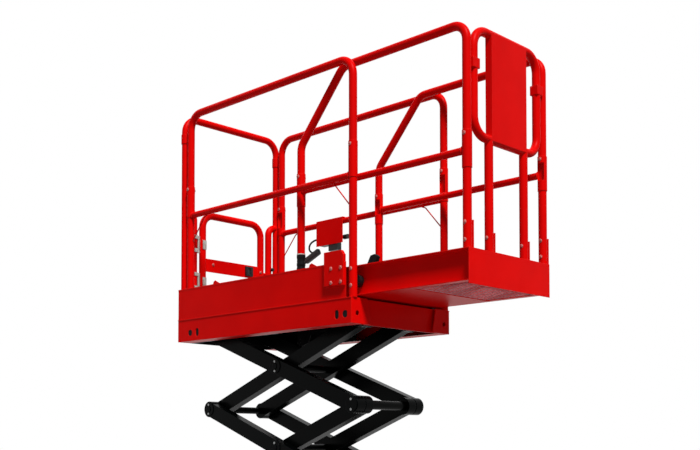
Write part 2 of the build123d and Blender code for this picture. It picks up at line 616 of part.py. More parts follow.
# lead from the box to a ribbed socket on the toe board, with its connector half way
lead_y = hanger_in + 14
socket_x = machine_x - 403.0
with BuildPart() as control_lead:
    tube([(hanger_from + 13.7, lead_y, hanger_low + 46), (machine_x - 330, lead_y, hanger_low + 44),
          (machine_x - 335, lead_y, hanger_low - 28), (machine_x - 262, lead_y, hanger_low - 30)], 5, 22)
    connector = Plane(origin=(machine_x - 360, lead_y, deck_z + 484), x_dir=(0, 1, 0), z_dir=(0.92, 0, 0.39))
    with BuildSketch(connector):
        RectangleRounded(27, 34, 9)
    extrude(amount=118)
    with BuildSketch(connector):
        Circle(8)
    extrude(amount=-42)
    bar(socket_x, lead_y, deck_z + 489, 17, 74, "z")
    for rib_z in (458, 474, 490, 506, 522):
        bar(socket_x, lead_y, deck_z + rib_z, 21, 7, "z")
    # bracket up from the toe board's inner face
    slab(socket_x - 14, socket_x + 14, lead_y - 6, deck_half - 4.3, deck_z + 440, deck_z + 456)
    slab(socket_x - 14, socket_x + 14, deck_half - 10, deck_half - 4.3, deck_z + toe_top - 60, deck_z + 456)
control_lead.part.label = "control_lead"
export_step(control_lead.part, "parts/control_lead.step")

# ================================================================ roll-out deck
with BuildPart() as extension_deck:
    slab(ext_rear, mesh_from, -ext_web, ext_web, deck_z + ext_low, deck_z + ext_low + 6)
    # cross angle at the front that carries the grating
    slab(ext_front - 30, ext_front - 4, -ext_web, ext_web, deck_z + ext_low, deck_z + ext_low + 3)
    for side in (-1, 1):
        slab(ext_rear, ext_front - 4, side * ext_web - 2, side * ext_web + 2, deck_z + ext_low, deck_z + ext_top)
        for flange_z in (ext_low, ext_top - 5):
            slab(ext_rear, ext_front - 4, side * ext_web, side * ext_half, deck_z + flange_z, deck_z + flange_z + 5)
    # web across the rear end
    slab(ext_rear, ext_rear + 4, -ext_web, ext_web, deck_z + ext_low, deck_z + ext_low + 40)
extension_deck.part.label = "extension_deck"
export_step(extension_deck.part, "parts/extension_deck.step")

# expanded-metal grating in the front of the roll-out deck's floor
with BuildPart() as extension_mesh:
    mesh_mid = (mesh_from + ext_front - 4) / 2
    with BuildSketch(Plane.XY.offset(deck_z + ext_low + 3)):
        with Locations((mesh_mid, 0)):
            Rectangle(ext_front - 4 - mesh_from - 0.6, 2 * mesh_half)
        with Locations((mesh_mid, 0)):
            with GridLocations(mesh_pitch, mesh_pitch, 7, 12):
                RegularPolygon(mesh_pitch * 0.42, 4, mode=Mode.SUBTRACT)
    extrude(amount=3)
extension_mesh.part.label = "extension_mesh"
export_step(extension_mesh.part, "parts/extension_mesh.step")

with BuildPart() as latch_grip:
    # rubber grip of the roll-out deck's latch, on the right channel's top
    with BuildSketch(Plane.XZ.offset(ext_half - 26)):
        with BuildLine():
            Polyline((machine_x + 684, deck_z + ext_top), (machine_x + 732, deck_z + ext_top),
                     (machine_x + 744, deck_z + ext_top + 26), (machine_x + 728, deck_z + ext_top + 38),
                     (machine_x + 704, deck_z + ext_top + 34), close=True)
        make_face()
    extrude(amount=22)
latch_grip.part.label = "latch_grip"
export_step(latch_grip.part, "parts/latch_grip.step")

with BuildPart() as extension_toe:
    slab(ext_front - 4, ext_front, -ext_half, ext_half, deck_z + 116, deck_z + ext_top)
extension_toe.part.label = "extension_toe"
export_step(extension_toe.part, "parts/extension_toe.step")

for name, side in (("extension_rail_left", 1), ("extension_rail_right", -1)):
    y = side * ext_rail_y
    with BuildPart() as ext_rail:
        tube([(ext_post_rear_x, y, deck_z + ext_top), (ext_post_rear_x, y, deck_z + 890),
              (ext_post_rear_x + 282, y, deck_z + 1206), (ext_post_front_x, y, deck_z + 1206),
              (ext_post_front_x, y, deck_z + ext_top)], rail_r, 70)
        bar((ext_post_rear_x + ext_post_front_x) / 2, y, deck_z + rail_mid, mid_r,
            ext_post_front_x - ext_post_rear_x, "x")
        for post_x in (ext_post_rear_x, ext_post_front_x):
            bar(post_x, y, deck_z + 676, sleeve_r, 156, "z")
            slab(post_x - slot_half, post_x + slot_half, y - side * 2, y - side * 30,
                 deck_z + 645, deck_z + 724, Mode.SUBTRACT)
        # bolted gusset at the corner post's foot
        slab(ext_post_front_x - 20, ext_post_front_x + 18, y + rail_r - 4, y + rail_r + 2,
             deck_z + ext_top, deck_z + 382)
    ext_rail.part.label = name
    export_step(ext_rail.part, f"parts/{name}.step")

with BuildPart() as front_rail:
    tube([(ext_post_front_x, loop_y, deck_z + loop_top), (ext_post_front_x, loop_y, deck_z + loop_low),
          (ext_post_front_x, -loop_y, deck_z + loop_low), (ext_post_front_x, -loop_y, deck_z + loop_top)],
         rail_r, 80, closed=True)
    for side in (-1, 1):
        # upright from the deck to the loop, with a bolted gusset at its foot
        bar(ext_post_front_x, side * panel_half, deck_z + (ext_top + loop_low) / 2, rail_r, loop_low - ext_top, "z")
        slab(ext_post_front_x - 20, ext_post_front_x + 18, side * panel_half + rail_r - 4,
             side * panel_half + rail_r + 2, deck_z + ext_top, deck_z + 349)
        # clamp that ties the loop to the corner post
        slab(ext_post_front_x - 20, ext_post_front_x + 20, side * (loop_y - rail_r - 1),
             side * (ext_rail_y - rail_r - 0.3), deck_z + clamp_z - 21, deck_z + clamp_z + 21)
        # folded side of the panel
        slab(ext_post_front_x + rail_r - panel_deep, ext_post_front_x + rail_r,
             side * (panel_half - 3), side * panel_half, deck_z + loop_low, deck_z + loop_top)
    # face of the panel
    slab(ext_post_front_x + rail_r - 3, ext_post_front_x + rail_r, -panel_half, panel_half,
         deck_z + loop_low - 8, deck_z + loop_top + 4)
front_rail.part.label = "front_rail"
export_step(front_rail.part, "parts/front_rail.step")
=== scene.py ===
import math

import bmesh
import bpy
from mathutils import Matrix, Vector


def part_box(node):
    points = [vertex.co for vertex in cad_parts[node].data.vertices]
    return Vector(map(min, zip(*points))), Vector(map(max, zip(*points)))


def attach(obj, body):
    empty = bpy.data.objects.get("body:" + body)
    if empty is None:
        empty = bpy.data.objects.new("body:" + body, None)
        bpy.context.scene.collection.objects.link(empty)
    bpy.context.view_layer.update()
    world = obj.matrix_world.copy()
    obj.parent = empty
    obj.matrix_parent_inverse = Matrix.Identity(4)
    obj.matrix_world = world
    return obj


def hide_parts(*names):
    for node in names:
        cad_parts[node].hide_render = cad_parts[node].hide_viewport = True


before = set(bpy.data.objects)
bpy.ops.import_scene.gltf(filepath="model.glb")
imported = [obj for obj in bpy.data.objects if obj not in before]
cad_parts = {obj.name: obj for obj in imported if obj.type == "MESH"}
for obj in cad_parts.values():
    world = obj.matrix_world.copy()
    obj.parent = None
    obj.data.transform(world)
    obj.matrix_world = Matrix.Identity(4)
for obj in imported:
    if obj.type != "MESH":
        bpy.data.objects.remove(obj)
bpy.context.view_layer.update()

# ---------------------------------------------------------------- studio
# A plain white studio: a pale floor, one large soft light high on the roll-out side,
# and an even white room. The floor keeps the shadow of the machine.


def linear(code):
    """An sRGB hex colour as the linear red, green, blue and alpha that shaders take."""
    parts = [int(code[i:i + 2], 16) / 255 for i in (0, 2, 4)]
    return tuple(c / 12.92 if c <= 0.04045 else ((c + 0.055) / 1.055) ** 2.4 for c in parts) + (1.0,)


def add_node(tree, kind, settings, sockets):
    """Adds a node. A socket is given a plain value, or another node's output to link."""
    made = tree.nodes.new(kind)
    for key, value in settings.items():
        setattr(made, key, value)
    for key, value in sockets.items():
        if isinstance(value, bpy.types.NodeSocket):
            tree.links.new(value, made.inputs[key])
        else:
            made.inputs[key].default_value = value
    return made


scene = bpy.context.scene
scene.view_settings.view_transform = "Standard"

camera_data = bpy.data.cameras.new("studio_camera")
camera_data.lens = 52.44
camera_data.sensor_width = 36
camera_data.shift_x = 0.0159
camera_data.shift_y = 0.2602
camera = bpy.data.objects.new("studio_camera", camera_data)
camera.location = (3.5243, -3.6223, 1.4373)
camera.rotation_euler = (math.radians(92.0), 0, math.radians(44.474))
scene.collection.objects.link(camera)
scene.camera = camera

room = bpy.data.worlds.new("white_room")
scene.world = room
room.use_nodes = True
tree = room.node_tree
tree.nodes.clear()
path = add_node(tree, "ShaderNodeLightPath", {}, {})
seen = add_node(tree, "ShaderNodeMath", {"operation": "MAXIMUM"},
                {0: path.outputs["Is Camera Ray"], 1: path.outputs["Is Glossy Ray"]})
seen = add_node(tree, "ShaderNodeMath", {"operation": "MAXIMUM"},
                {0: seen.outputs[0], 1: path.outputs["Is Transmission Ray"]})
level = add_node(tree, "ShaderNodeMapRange", {}, {"Value": seen.outputs[0], "To Min": 0.16, "To Max": 1.0})
glow = add_node(tree, "ShaderNodeBackground", {}, {"Color": (1, 1, 1, 1), "Strength": level.outputs[0]})
add_node(tree, "ShaderNodeOutputWorld", {}, {"Surface": glow.outputs[0]})

sun_azimuth = math.radians(-27)
sun_height = math.radians(52)
key_data = bpy.data.lights.new("key_light", "SUN")
key_data.energy = 3.9
key_data.angle = math.radians(14)
key = bpy.data.objects.new("key_light", key_data)
key.rotation_euler = Vector((math.cos(sun_azimuth) * math.cos(sun_height),
                             math.sin(sun_azimuth) * math.cos(sun_height),
                             math.sin(sun_height))).to_track_quat("Z", "Y").to_euler()
scene.collection.objects.link(key)

bpy.ops.object.select_all(action="DESELECT")
bpy.ops.mesh.primitive_plane_add(size=60)
floor = bpy.context.object
floor.name = "studio_floor"
paper = bpy.data.materials.new("white_studio_floor")
paper.use_nodes = True
tree = paper.node_tree
shader = tree.nodes["Principled BSDF"]
shader.inputs["Roughness"].default_value = 0.9
shader.inputs["Specular IOR Level"].default_value = 0.0
path = add_node(tree, "ShaderNodeLightPath", {}, {})
seen = add_node(tree, "ShaderNodeMath", {"operation": "MAXIMUM"},
                {0: path.outputs["Is Camera Ray"], 1: path.outputs["Is Glossy Ray"]})
tint = add_node(tree, "ShaderNodeMix", {"data_type": "RGBA"},
                {"Factor": seen.outputs[0], "A": linear("909090"), "B": linear("F4F4F4")})
tree.links.new(tint.outputs["Result"], shader.inputs["Base Color"])
floor.data.materials.append(paper)

# ---------------------------------------------------------------- chassis
# Folded and welded steel plate under a glossy red powder coat. Its edges are rounded and carry a
# painted highlight, and it has a fine orange peel. Plated flange bolts hold the end plates.


def new_material(name):
    """A material with its tree and its shader."""
    made = bpy.data.materials.new(name)
    made.use_nodes = True
    return made, made.node_tree, made.node_tree.nodes["Principled BSDF"]


def powder_coat(name, colour, dull, edge_highlight_and_wear_colour, rough, gloss):
    """A baked coat on steel: cloudy tone, orange peel about 2.5 mm across, painted highlights on rounded
    edges.
    """
    made, tree, shader = new_material(name)
    place = add_node(tree, "ShaderNodeTexCoord", {}, {}).outputs["Object"]
    cloud = add_node(tree, "ShaderNodeTexNoise", {}, {"Vector": place, "Scale": 4.0, "Detail": 4.0})
    tone = add_node(tree, "ShaderNodeMapRange", {},
                    {"Value": cloud.outputs["Fac"], "From Min": 0.4, "From Max": 0.7})
    body = add_node(tree, "ShaderNodeMix", {"data_type": "RGBA"},
                    {"Factor": tone.outputs[0], "A": linear(colour), "B": linear(dull)})
    soft_edge = add_node(tree, "ShaderNodeBevel", {"samples": 4}, {"Radius": 0.0022})
    flat = add_node(tree, "ShaderNodeNewGeometry", {}, {}).outputs["Normal"]
    facing = add_node(tree, "ShaderNodeVectorMath", {"operation": "DOT_PRODUCT"},
                      {0: soft_edge.outputs["Normal"], 1: flat})
    # the paler edge colour is a painted highlight; on the bolts and the tread crowns it is also rubbed paint
    edge_highlight_and_wear = add_node(tree, "ShaderNodeMapRange", {},
                    {"Value": facing.outputs["Value"], "From Min": 0.99, "From Max": 0.8, "To Max": 0.8})
    skin = add_node(tree, "ShaderNodeMix", {"data_type": "RGBA"},
                    {"Factor": edge_highlight_and_wear.outputs[0], "A": body.outputs["Result"], "B": linear(edge_highlight_and_wear_colour)})
    peel = add_node(tree, "ShaderNodeTexNoise", {}, {"Vector": place, "Scale": 400.0, "Detail": 1.0})
    bump = add_node(tree, "ShaderNodeBump", {},
                    {"Strength": 0.25, "Distance": 0.0002, "Height": peel.outputs["Fac"],
                     "Normal": soft_edge.outputs["Normal"]})
    matt = add_node(tree, "ShaderNodeMapRange", {},
                    {"Value": cloud.outputs["Fac"], "To Min": rough - 0.06, "To Max": rough + 0.1})
    shader.inputs["Specular IOR Level"].default_value = gloss
    tree.links.new(skin.outputs["Result"], shader.inputs["Base Color"])
    tree.links.new(matt.outputs[0], shader.inputs["Roughness"])
    tree.links.new(bump.outputs["Normal"], shader.inputs["Normal"])
    return made


def paint(material, names):
    """Gives CAD nodes a material through their own slots."""
    for name in names:
        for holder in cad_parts[name].material_slots:
            holder.material = material


def dress(piece, name, body, material):
    """Names a piece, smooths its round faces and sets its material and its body."""
    piece.name = name
    piece.data.name = name
    piece.data.materials.clear()
    piece.data.materials.append(material)
    bpy.ops.object.select_all(action="DESELECT")
    piece.select_set(True)
    bpy.context.view_layer.objects.active = piece
    bpy.ops.object.shade_smooth_by_angle(angle=math.radians(35))
    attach(piece, body)
    return piece


def set_out(pattern, name, places, body, material):
    """Copies a pattern that stands on the origin along +Z to points in metres, as one piece."""
    shell = bmesh.new()
    for point, towards, turn in places:
        upright = Vector(towards).to_track_quat("Z", "Y").to_matrix().to_4x4()
        stand = upright @ Matrix.Rotation(math.radians(turn), 4, "Z")
        stand.translation = point
        copy = pattern.data.copy()
        copy.transform(stand)
        shell.from_mesh(copy)
        bpy.data.meshes.remove(copy)
    mesh = bpy.data.meshes.new(name)
    shell.to_mesh(mesh)
    shell.free()
    piece = bpy.data.objects.new(name, mesh)
    scene.collection.objects.link(piece)
    return dress(piece, name, body, material)


def turned(profile, sides):
    """A turned form along +Z: a disc drawn up through radius and height pairs, in metres."""
    bpy.ops.object.select_all(action="DESELECT")
    bpy.ops.mesh.primitive_circle_add(vertices=sides, radius=profile[0][0], fill_type="NGON",
                                      location=(0, 0, profile[0][1]))
    piece = bpy.context.object
    bpy.ops.object.transform_apply(location=True, rotation=True, scale=True)
    bpy.ops.object.mode_set(mode="EDIT")
    bpy.ops.mesh.select_all(action="SELECT")
    for (last_r, last_z), (next_r, next_z) in zip(profile, profile[1:]):
        bpy.ops.mesh.extrude_region_move(TRANSFORM_OT_translate={"value": (0, 0, next_z - last_z)})
        wide = next_r / last_r
        bpy.ops.transform.resize(value=(wide, wide, 1), center_override=(0, 0, next_z))
    bpy.ops.mesh.select_all(action="SELECT")
    bpy.ops.mesh.normals_make_consistent(inside=False)
    bpy.ops.object.mode_set(mode="OBJECT")
    return piece


def block(low, high, edge):
    """A plate or housing between two corners in metres, its edges broken by a bevel."""
    bpy.ops.object.select_all(action="DESELECT")
    bpy.ops.mesh.primitive_cube_add(size=1, location=[(a + b) / 2 for a, b in zip(low, high)],
                                    scale=[b - a for a, b in zip(low, high)])
    piece = bpy.context.object
    bpy.ops.object.transform_apply(location=True, rotation=True, scale=True)
    bpy.ops.object.mode_set(mode="EDIT")
    bpy.ops.mesh.select_all(action="SELECT")
    bpy.ops.mesh.bevel(offset=edge, segments=2)
    bpy.ops.object.mode_set(mode="OBJECT")
    return piece


def joined(pieces):
    """Several meshes as one object."""
    bpy.ops.object.select_all(action="DESELECT")
    for piece in pieces:
        piece.select_set(True)
    bpy.context.view_layer.objects.active = pieces[0]
    bpy.ops.object.join()
    return pieces[0]


def away(pattern):
    """Removes a pattern once it has been copied."""
    bpy.data.objects.remove(pattern, do_unlink=True)


# gloss level is low: the coat's own colour is deep and its shine is a thin clear film
# the third colour of each coat is the painted highlight on its edges
red_coat = powder_coat("red_powder_coat", "E20503", "D60504", "F23028", 0.34, 0.035)
black_coat = powder_coat("black_satin_powder_coat", "010202", "020303", "15181A", 0.22, 0.035)
grey_coat = powder_coat("dark_grey_powder_coat", "303234", "282A2C", "505356", 0.5, 0.3)
paint(red_coat, ["chassis_frame", "ladder"])
paint(black_coat,
      ["scissor_mounts", "guard_left", "guard_right", "knuckle_left", "knuckle_right", "tie_rod"])
paint(grey_coat, ["battery_tray", "hydraulic_tray"])

zinc, tree, shader = new_material("bright_zinc_plated_steel")
# electroplated zinc: pale and slightly yellow, with a blotched shine a few millimetres across
place = add_node(tree, "ShaderNodeTexCoord", {}, {}).outputs["Object"]
blotch = add_node(tree, "ShaderNodeTexNoise", {}, {"Vector": place, "Scale": 180.0, "Detail": 3.0})
tint = add_node(tree, "ShaderNodeMix", {"data_type": "RGBA"},
                {"Factor": blotch.outputs["Fac"], "A": linear("C9C4B4"), "B": linear("9FA3A6")})
matt = add_node(tree, "ShaderNodeMapRange", {},
                {"Value": blotch.outputs["Fac"], "To Min": 0.22, "To Max": 0.48})
shader.inputs["Metallic"].default_value = 1.0
tree.links.new(tint.outputs["Result"], shader.inputs["Base Color"])
tree.links.new(matt.outputs[0], shader.inputs["Roughness"])

machine_x = -0.251      # the chassis' middle from the part's origin, in metres
floor_height = 121      # top of the platform's floor above its underside, in millimetres
deck_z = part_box("deck_floor")[1][2] - floor_height / 1000


def low_spot(x, y, z):
    """A point in millimetres from the chassis' middle and the floor, in metres."""
    return Vector((machine_x + x / 1000, y / 1000, z / 1000))


def deck_spot(x, y, z):
    """A point in millimetres from the chassis' middle and the platform's underside, in metres."""
    return Vector((machine_x + x / 1000, y / 1000, deck_z + z / 1000))


end_face = 712          # end plates from the chassis' middle, in millimetres
flange_bolt_y = 255
lashing_y = 190
lashing_z = 180
# flange bolt: hexagon head with a chamfered top on a round washer
washer = turned([(0.0112, 0.0), (0.0112, 0.0018), (0.0104, 0.0024)], 16)
head = turned([(0.0082, 0.0024), (0.0082, 0.0074), (0.0068, 0.0086)], 6)
bolt = joined([washer, head])
set_out(bolt, "chassis_end_bolts",
        [(low_spot(end * end_face, side * flange_bolt_y, z), (end, 0, 0), 0)
         for end in (-1, 1) for side in (-1, 1) for z in (140, 305)],
        "chassis", zinc)
# pressed rims in the four lashing holes
bpy.ops.object.select_all(action="DESELECT")
bpy.ops.mesh.primitive_torus_add(major_segments=28, minor_segments=8, major_radius=0.0245,
                                 minor_radius=0.003)
rim = bpy.context.object
set_out(rim, "lashing_rims",
        [(low_spot(end * end_face, side * lashing_y, lashing_z), (end, 0, 0), 0)
         for end in (-1, 1) for side in (-1, 1)],
        "chassis", zinc)
away(rim)

# ---------------------------------------------------------------- trays and batteries
# Swing-out trays of folded plate under dark grey powder coat. Each has pressed hoods over its
# air slots and a plated turn latch. The batteries stand in the right one.
moulded, tree, shader = new_material("black_moulded_abs")
# spark-eroded mould texture about 0.8 mm across, drawn twice as coarse so that it shows
place = add_node(tree, "ShaderNodeTexCoord", {}, {}).outputs["Object"]
spark = add_node(tree, "ShaderNodeTexNoise", {}, {"Vector": place, "Scale": 600.0, "Detail": 2.0})
dust = add_node(tree, "ShaderNodeTexNoise", {}, {"Vector": place, "Scale": 12.0, "Detail": 3.0})
tint = add_node(tree, "ShaderNodeMix", {"data_type": "RGBA"},
                {"Factor": dust.outputs["Fac"], "A": linear("0B0C0D"), "B": linear("1B1C1E")})
bump = add_node(tree, "ShaderNodeBump", {},
                {"Strength": 0.3, "Distance": 0.0003, "Height": spark.outputs["Fac"]})
shader.inputs["Roughness"].default_value = 0.46
shader.inputs["Specular IOR Level"].default_value = 0.3
tree.links.new(tint.outputs["Result"], shader.inputs["Base Color"])
tree.links.new(bump.outputs["Normal"], shader.inputs["Normal"])

stop_red, tree, shader = new_material("red_moulded_button")
# glossy moulded plastic with faint flow marks
place = add_node(tree, "ShaderNodeTexCoord", {}, {}).outputs["Object"]
flow = add_node(tree, "ShaderNodeTexNoise", {}, {"Vector": place, "Scale": 90.0, "Detail": 1.0})
tint = add_node(tree, "ShaderNodeMix", {"data_type": "RGBA"},
                {"Factor": flow.outputs["Fac"], "A": linear("C80C08"), "B": linear("B00A08")})
shader.inputs["Roughness"].default_value = 0.25
shader.inputs["Specular IOR Level"].default_value = 0.4
tree.links.new(tint.outputs["Result"], shader.inputs["Base Color"])

paint(moulded, ["batteries", "slide_strips", "control_box"])
tray_face = 374         # outer faces of the trays from the middle plane, in millimetres
hood = block((-0.092, 0.0032, 0.0), (0.092, 0.0078, 0.004), 0.0014)
for name, body, side in (("battery", "battery_side", -1), ("hydraulic", "hydraulic_side", 1)):
    set_out(hood, name + "_louvres",
            [(low_spot(-115, side * tray_face, z), (0, side, 0), 0) for z in (138, 154, 170, 186, 202)],
            body, grey_coat)
away(hood)
latch = turned([(0.016, 0.0), (0.016, 0.0018), (0.012, 0.0028), (0.010, 0.0054)], 24)
for name, body, side in (("battery", "battery_side", -1), ("hydraulic", "hydraulic_side", 1)):
    set_out(latch, name + "_tray_latch", [(low_spot(312, side * tray_face, 150), (0, side, 0), 0)], body,
            zinc)
away(latch)

# ---------------------------------------------------------------- ground controls
# A moulded panel on the rear end plate beside the ladder, with a stop button and two push
# buttons. The charger inlet, a round moulded socket, is on the ladder's other side.
panel_face = -end_face - 4
panel = block(low_spot(panel_face, 168, 228), low_spot(1 - end_face, 238, 312), 0.0022)
dress(panel, "ground_panel", "chassis", moulded)
mushroom = turned([(0.010, 0.0), (0.010, 0.0035), (0.0165, 0.0048), (0.0175, 0.0070), (0.0160, 0.0090),
                   (0.0100, 0.0098)], 28)
set_out(mushroom, "ground_stop_button", [(low_spot(panel_face, 203, 287), (-1, 0, 0), 0)], "chassis",
        stop_red)
button = turned([(0.0085, 0.0), (0.0085, 0.003), (0.0065, 0.0032), (0.0065, 0.0065), (0.0055, 0.0074)], 20)
set_out(button, "ground_buttons", [(low_spot(panel_face, y, 248), (-1, 0, 0), 0) for y in (188, 218)],
        "chassis", zinc)
inlet = turned([(0.026, 0.0), (0.026, 0.004), (0.023, 0.006), (0.023, 0.022), (0.0215, 0.0245),
                (0.014, 0.0255)], 28)
set_out(inlet, "charger_inlet", [(low_spot(-end_face, -203, 275), (-1, 0, 0), 0)], "chassis",
        moulded)
away(inlet)

# ---------------------------------------------------------------- wheels
# Solid black tyres pressed on cast hubs, each hub held by five nuts round its boss.
tyre_rubber, tree, shader = new_material("solid_cured_rubber")
# cured rubber, dull with a bloom of dust, fine mould rings
place = add_node(tree, "ShaderNodeTexCoord", {}, {}).outputs["Object"]
bloom = add_node(tree, "ShaderNodeTexNoise", {}, {"Vector": place, "Scale": 25.0, "Detail": 5.0})
tint = add_node(tree, "ShaderNodeMix", {"data_type": "RGBA"},
                {"Factor": bloom.outputs["Fac"], "A": linear("111112"), "B": linear("2E2D2B")})
rings = add_node(tree, "ShaderNodeTexWave", {"wave_type": "BANDS", "bands_direction": "Y"},
                 {"Vector": place, "Scale": 25.0, "Distortion": 0.0})
bump = add_node(tree, "ShaderNodeBump", {},
                {"Strength": 0.35, "Distance": 0.0008, "Height": rings.outputs["Fac"]})
shader.inputs["Roughness"].default_value = 0.78
shader.inputs["Specular IOR Level"].default_value = 0.2
tree.links.new(tint.outputs["Result"], shader.inputs["Base Color"])
tree.links.new(bump.outputs["Normal"], shader.inputs["Normal"])
# its third colour is the painted highlight on the hub's edges
hub_coat = powder_coat("light_grey_hub_paint", "A2A4A6", "8E9092", "C8C9CA", 0.45, 0.35)

hub_face = 0.356        # the hub's dished disc at its nuts, from the middle plane, in metres
nut_circle = 0.052
for wheel in ("front_left", "front_right", "rear_left", "rear_right"):
    paint(tyre_rubber, [wheel + "_tyre"])
    paint(hub_coat, [wheel + "_hub"])
    low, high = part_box(wheel + "_tyre")
    side = 1 if wheel.endswith("left") else -1
    middle = Vector(((low[0] + high[0]) / 2, side * hub_face, (low[2] + high[2]) / 2))
    around = [math.radians(90 + 72 * i) for i in range(5)]
    set_out(bolt, wheel + "_nuts",
            [(middle + Vector((nut_circle * math.cos(a), 0, nut_circle * math.sin(a))), (0, side, 0), 0)
             for a in around],
            wheel + "_wheel", zinc)

# ---------------------------------------------------------------- scissor stack
# Arms of rectangular tube in satin black. Round keepers cover the pins on the outer arms, with
# two bolts each except at the chassis and the platform. The lift cylinder's rod is hard chromed.
# the stack as it stands, in metres: its lowest row of pins above the floor, the rise of one
# stage, the radius of the bosses, and the keepers' outer faces from the middle plane
stages = 4
base_z = 0.400
stage_rise = 0.405
boss_r = 0.042
keeper_face = 0.237
keeper_bolt_at = 0.024
cylinder_offset = 0.060
eye_along = 0.116
gland_at = 0.398
low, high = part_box("outer_arms_2")
front_pin_x = high[0] - boss_r
rear_pin_x = low[0] + boss_r
middle_x = (front_pin_x + rear_pin_x) / 2
keeper_bolt = turned([(0.0066, 0.0), (0.0066, 0.0030), (0.0054, 0.0040)], 6)
bolt_steel, tree, shader = new_material("blackened_steel_bolt")
# phosphated heads with the paint rubbed off their tops
place = add_node(tree, "ShaderNodeTexCoord", {}, {}).outputs["Object"]
rub = add_node(tree, "ShaderNodeTexNoise", {}, {"Vector": place, "Scale": 260.0, "Detail": 2.0})
tint = add_node(tree, "ShaderNodeMix", {"data_type": "RGBA"},
                {"Factor": rub.outputs["Fac"], "A": linear("4A4C4E"), "B": linear("A8A9A8")})
shader.inputs["Metallic"].default_value = 0.9
shader.inputs["Roughness"].default_value = 0.38
tree.links.new(tint.outputs["Result"], shader.inputs["Base Color"])
for stage in range(1, stages + 1):
    paint(black_coat, [f"outer_arms_{stage}", f"inner_arms_{stage}"])
    row = base_z + stage_rise * (stage - 1)
    pins = [(middle_x, row + stage_rise / 2)]
    if stage > 1:
        pins.append((front_pin_x, row))
    if stage < stages:
        pins.append((rear_pin_x, row + stage_rise))
    set_out(keeper_bolt, f"keeper_bolts_{stage}",
            [(Vector((x, side * keeper_face, z + up)), (0, side, 0), 0)
             for x, z in pins for side in (-1, 1) for up in (-keeper_bolt_at, keeper_bolt_at)],
            f"outer_{stage}", bolt_steel)
away(keeper_bolt)

arm_pitch = math.hypot(front_pin_x - rear_pin_x, stage_rise)
cos_a = (front_pin_x - rear_pin_x) / arm_pitch
sin_a = stage_rise / arm_pitch
foot = Vector((middle_x + cylinder_offset * sin_a, 0, base_z + stage_rise / 2 - cylinder_offset * cos_a))
eye = Vector((rear_pin_x + eye_along * cos_a - cylinder_offset * sin_a, 0,
              base_z + stage_rise + eye_along * sin_a + cylinder_offset * cos_a))
along = (eye - foot).normalized()
paint(black_coat, ["cylinder_barrel"])
chrome, tree, shader = new_material("hard_chromed_steel")
# ground and chromed rod: mirror bright with faint grinding marks round it
place = add_node(tree, "ShaderNodeTexCoord", {}, {}).outputs["Object"]
marks = add_node(tree, "ShaderNodeTexNoise", {}, {"Vector": place, "Scale": 900.0, "Detail": 1.0})
matt = add_node(tree, "ShaderNodeMapRange", {},
                {"Value": marks.outputs["Fac"], "To Min": 0.08, "To Max": 0.2})
shader.inputs["Base Color"].default_value = linear("D6D8DA")
shader.inputs["Metallic"].default_value = 1.0
tree.links.new(matt.outputs[0], shader.inputs["Roughness"])
paint(chrome, ["cylinder_rod"])
gland = turned([(0.0325, 0.0), (0.0350, 0.002), (0.0350, 0.020), (0.0325, 0.0225), (0.0240, 0.0230),
                (0.0225, 0.0265)], 32)
set_out(gland, "cylinder_gland", [(foot + along * gland_at, along, 0)], "barrel", black_coat)
away(gland)

# ---------------------------------------------------------------- platform frame and floor
# Folded side plates and cross plates, red outside. The channels under the floor are coloured
# flat black. Rubber closes the round holes and slots in the side plates.
# how far the black reaches from the middle plane, and forward of the chassis' middle, in metres
black_half_width = 0.2755
black_front_end = 0.606
# its third colour is the painted highlight on the frame's edges
under_coat = powder_coat("platform_red_black_inside", "E20503", "D60504", "F23028", 0.34, 0.035)
tree = under_coat.node_tree
shader = tree.nodes["Principled BSDF"]
red_skin = shader.inputs["Base Color"].links[0].from_socket
place = add_node(tree, "ShaderNodeTexCoord", {}, {}).outputs["Object"]
axes = add_node(tree, "ShaderNodeSeparateXYZ", {}, {"Vector": place})
side_way = add_node(tree, "ShaderNodeMath", {"operation": "ABSOLUTE"}, {0: axes.outputs["Y"]})
inside = add_node(tree, "ShaderNodeMath", {"operation": "LESS_THAN"},
                  {0: side_way.outputs[0], 1: black_half_width})
behind = add_node(tree, "ShaderNodeMath", {"operation": "LESS_THAN"},
                  {0: axes.outputs["X"], 1: machine_x + black_front_end})
black_part = add_node(tree, "ShaderNodeMath", {"operation": "MULTIPLY"},
                      {0: inside.outputs[0], 1: behind.outputs[0]})
# flat black inside the channels' width and behind the front cross plate, red elsewhere
both = add_node(tree, "ShaderNodeMix", {"data_type": "RGBA"},
                {"Factor": black_part.outputs[0], "A": red_skin, "B": linear("0D0C0D")})
tree.links.new(both.outputs["Result"], shader.inputs["Base Color"])
paint(under_coat, ["deck_frame"])

# its third colour is the painted highlight on the plate's edges
plate_coat = powder_coat("worn_red_tread_plate", "B80E0C", "8E1512", "D8503F", 0.5, 0.2)
paint(plate_coat, ["deck_floor"])
rubber, tree, shader = new_material("black_epdm_rubber")
# soft moulded rubber, slightly grey where it is handled
place = add_node(tree, "ShaderNodeTexCoord", {}, {}).outputs["Object"]
bloom = add_node(tree, "ShaderNodeTexNoise", {}, {"Vector": place, "Scale": 60.0, "Detail": 4.0})
tint = add_node(tree, "ShaderNodeMix", {"data_type": "RGBA"},
                {"Factor": bloom.outputs["Fac"], "A": linear("030304"), "B": linear("0E0F10")})
matt = add_node(tree, "ShaderNodeMapRange", {},
                {"Value": bloom.outputs["Fac"], "To Min": 0.55, "To Max": 0.8})
shader.inputs["Specular IOR Level"].default_value = 0.1
tree.links.new(tint.outputs["Result"], shader.inputs["Base Color"])
tree.links.new(matt.outputs[0], shader.inputs["Roughness"])

